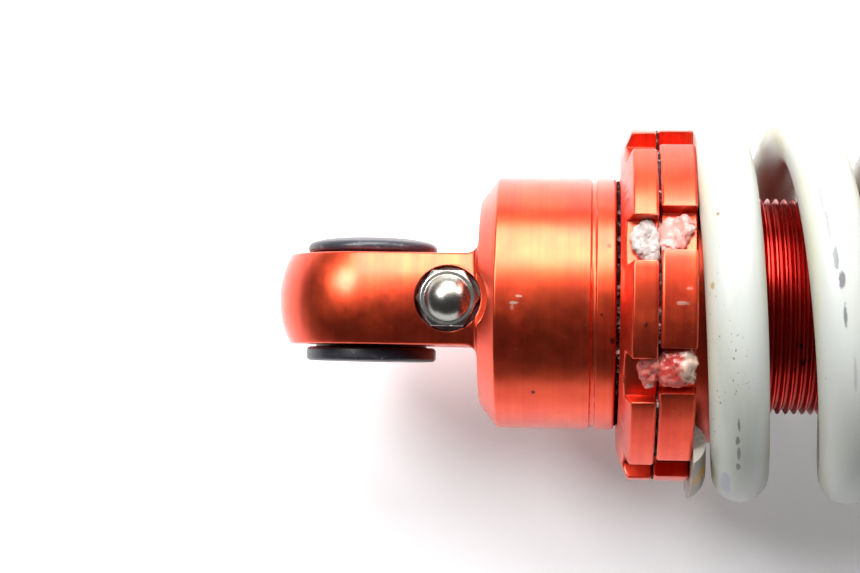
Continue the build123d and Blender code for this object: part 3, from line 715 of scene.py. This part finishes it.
# ---------------------------------------------------------------- bushes
bush_round = 0.7 * MM
for end_name, eye_x, body in (("upper", 0.0, "damper_body"),
                              ("lower", eye_distance, "rod_assembly")):
    for side_name, side in (("front", -1), ("back", 1)):
        bush_low, bush_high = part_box(f"{end_name}_bush_{side_name}")
        sleeve_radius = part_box(f"{end_name}_eye_sleeve")[1].x - eye_x
        face = bush_high.y if side > 0 else bush_low.y
        inner_end = bush_low.y if side > 0 else bush_high.y
        flange = face - side * bush_flange
        flange_radius = bush_high.x - eye_x
        bore = sleeve_radius + running_fit
        stem = bore + bush_wall
        # the outer face is slightly crowned; the upper back one has worn down at its rim
        crown = 1.1 * MM if (end_name, side_name) == ("upper", "back") else 0.15 * MM
        reaches = [step / 6 for step in range(6, -1, -1)]
        crowned = [(face - side * crown * reach ** 2, bore + (flange_radius - bore) * reach)
                   for reach in reaches]
        bush = turned([(inner_end, bore), (inner_end, stem), (flange, stem),
                       (flange, flange_radius)] + crowned, 128, (eye_x, 0, 0), (0, 1, 0))
        outer = [edge for edge in bush.edges
                 if all(math.hypot(vert.co.x - eye_x, vert.co.z) > flange_radius - 0.1 * MM
                        for vert in edge.verts) and edge.calc_face_angle() > 0.5]
        bmesh.ops.bevel(bush, geom=outer, offset=bush_round, offset_type="OFFSET",
                        affect="EDGES", segments=4, profile=0.5, material=-1)
        name = f"{end_name}_bush_{side_name}"
        steady_shading(piece(bush, name + "_moulded", acetal, body, [name]))


# ---------------------------------------------------------------- grease and dirt
def around(x, radius, turn):
    """A point at that radius, turned from +Y toward +Z."""
    return Vector((x, radius * math.cos(turn), radius * math.sin(turn)))


def lump(centre, turn, half_size, seed, squareness=0.8, knobs=0.9 * MM, wave=3.0 * MM):
    """A rounded lump: half_size is along X, round the ring and outwards."""
    shape = bmesh.new()
    bmesh.ops.create_icosphere(shape, subdivisions=5, radius=1)
    drift = Vector((seed * 3.7, seed * 1.9, seed * 5.3))
    outward = Vector((0, math.cos(turn), math.sin(turn)))
    tangent = Vector((0, -math.sin(turn), math.cos(turn)))
    for vert in shape.verts:
        blunt = [math.copysign(abs(part) ** squareness, part) for part in vert.co]
        spread = (Vector((1, 0, 0)) * blunt[0] * half_size[0] + tangent * blunt[1] * half_size[1]
                  + outward * blunt[2] * half_size[2])
        push = noise.fractal(spread / wave + drift, 0.8, 2.2, 3)
        vert.co = centre + spread + spread.normalized() * push * knobs
    return shape


# start, end, half width and rise in millimetres, turn in degrees
for name, paint, body, start, end, turn, half_width, rise, seed in (
    ("upper_grease_on_lock_ring", white_grease, "lock_ring", 47.9, 52.5, 70.0, 3.7, 1.5, 2),
    ("upper_grease_on_preload_ring", pink_grease, "preload_ring", 52.3, 57.2, 69.2, 3.6, 1.5, 1),
    ("upper_grease_tail_on_preload_ring", pink_grease, "preload_ring", 55.0, 58.8, 65.2, 1.9,
     1.1, 5),
    ("upper_grease_crumb_on_lock_ring", white_grease, "lock_ring", 49.4, 52.5, 75.2, 2.3, 1.3, 6),
    ("lower_grease_on_lock_ring", red_grease, "lock_ring", 49.0, 52.7, 113.9, 3.3, 1.6, 4),
    ("lower_grease_on_preload_ring", red_grease, "preload_ring", 52.2, 58.9, 113.4, 3.5, 2.0, 3),
):
    middle = around((start + end) / 2 * MM, notch_floor + 0.5 * MM, math.radians(turn))
    shape = lump(middle, math.radians(turn),
                 ((end - start) / 2 * MM, half_width * MM, rise * MM), seed)
    piece(shape, name, paint, body, smooth_under=math.pi)


def dirt_band(start, end, inner, outer, roughness, lobe_turn=None, lobe_half=0.0, floor=0.0):
    """A ragged ring of dirt; between the lobes, where lobes are given, it stays below floor."""
    lump_length = 2.5 * MM
    lumps_per_radian = 14
    shape = turned(((start, inner), (start, outer), ((start + end) / 2, outer + 0.1 * MM),
                    (end, outer), (end, inner)), 720)
    for vert in shape.verts:
        radius = math.hypot(vert.co.y, vert.co.z)
        if radius < (inner + outer) / 2:
            continue
        turn = math.atan2(vert.co.z, vert.co.y)
        lumps_at = around(vert.co.x / lump_length, lumps_per_radian, turn)
        height = radius + roughness * noise.fractal(lumps_at, 0.7, 2.2, 4)
        if lobe_turn is not None:
            off = (turn - lobe_turn + notch_turn / 2) % notch_turn - notch_turn / 2
            if abs(off) > lobe_half:
                height = min(height, floor)
        vert.co.y *= height / radius
        vert.co.z *= height / radius
    return shape


# packed between the two rings' lobes
both_lobes = (lock_lobe_turn + preload_lobe_turn) / 2
piece(dirt_band(lock_high.x - 0.05 * MM, preload_start + 0.05 * MM, ring_radius - 5 * MM,
                ring_radius - 0.7 * MM, 0.7 * MM, both_lobes, math.radians(12.5),
                notch_floor - 0.2 * MM),
      "dirt_between_rings", dirt, "lock_ring")
# crumbs on the thread, between the cap and the lock ring
piece(dirt_band(cap_end + 0.02 * MM, lock_low.x - 0.02 * MM, tube_radius - 0.3 * MM,
                tube_radius + 1.9 * MM, 1.3 * MM),
      "dirt_at_cap_rim", dirt, "damper_body")


# ---------------------------------------------------------------- table, lights, camera
floor_shape = bmesh.new()
bmesh.ops.create_grid(floor_shape, x_segments=1, y_segments=1, size=3.0)
bmesh.ops.translate(floor_shape, verts=floor_shape.verts, vec=(0, 0, cad_low.z))
floor_mesh = bpy.data.meshes.new("table")
floor_shape.to_mesh(floor_mesh)
floor_shape.free()
table = bpy.data.objects.new("table", floor_mesh)
bpy.context.scene.collection.objects.link(table)
# lit white acrylic table top: it glows a little, so shadows on it stay pale
table_paint, tree, shader = new_material("lit_white_acrylic", Roughness=0.5, Emission_Strength=0.21)
shader.inputs["Base Color"].default_value = hexed("F4F4F6")
shader.inputs["Emission Color"].default_value = hexed("FFFFFF")
floor_mesh.materials.append(table_paint)


def softbox(name, place, aim, size, watts):
    """A rectangular area light at a place, turned to face its aim."""
    lamp = bpy.data.lights.new(name, "AREA")
    lamp.shape = "RECTANGLE"
    lamp.size, lamp.size_y = size
    lamp.energy = watts
    holder = bpy.data.objects.new(name, lamp)
    holder.location = place
    holder.rotation_euler = (Vector(aim) - Vector(place)).to_track_quat("-Z", "Y").to_euler()
    bpy.context.scene.collection.objects.link(holder)


softbox("long_softbox", (0.05, 0.60, 0.50), (0.05, 0, 0), (0.58, 0.56), 11.0)
softbox("left_softbox", (-0.30, 0.26, 0.56), (0.0, 0, 0), (0.26, 0.26), 4.4)
softbox("right_softbox", (0.52, 0.38, 0.38), (0.02, 0, 0), (0.20, 0.20), 1.8)
softbox("low_fill", (0.05, -0.85, 0.085), (0.05, 0, 0.05), (1.6, 0.20), 1.25)
world = bpy.data.worlds.new("room")
bpy.context.scene.world = world
world.use_nodes = True
room_light = world.node_tree.nodes["Background"]
room_light.inputs["Color"].default_value = hexed("FFFFFF")
room_light.inputs["Strength"].default_value = 0.045

camera_place = Vector((39.3, -14.0, 362.7)) * MM
camera_aim = Vector((10.83, 2.82, 0.0)) * MM
camera_roll = math.radians(0.77)
back = (camera_place - camera_aim).normalized()
right = (Vector((1, 0, 0)) - back * back.x).normalized()
right.rotate(Matrix.Rotation(camera_roll, 3, back))
up = back.cross(right)
lens = bpy.data.cameras.new("camera")
lens.lens = 81.4
lens.sensor_width = 36.0
lens.clip_start = 0.01
camera = bpy.data.objects.new("camera", lens)
camera_turn = Matrix((right, up, back)).transposed().to_4x4()
camera.matrix_world = Matrix.Translation(camera_place) @ camera_turn
bpy.context.scene.collection.objects.link(camera)
bpy.context.scene.camera = camera
bpy.context.scene.view_settings.view_transform = "Standard"
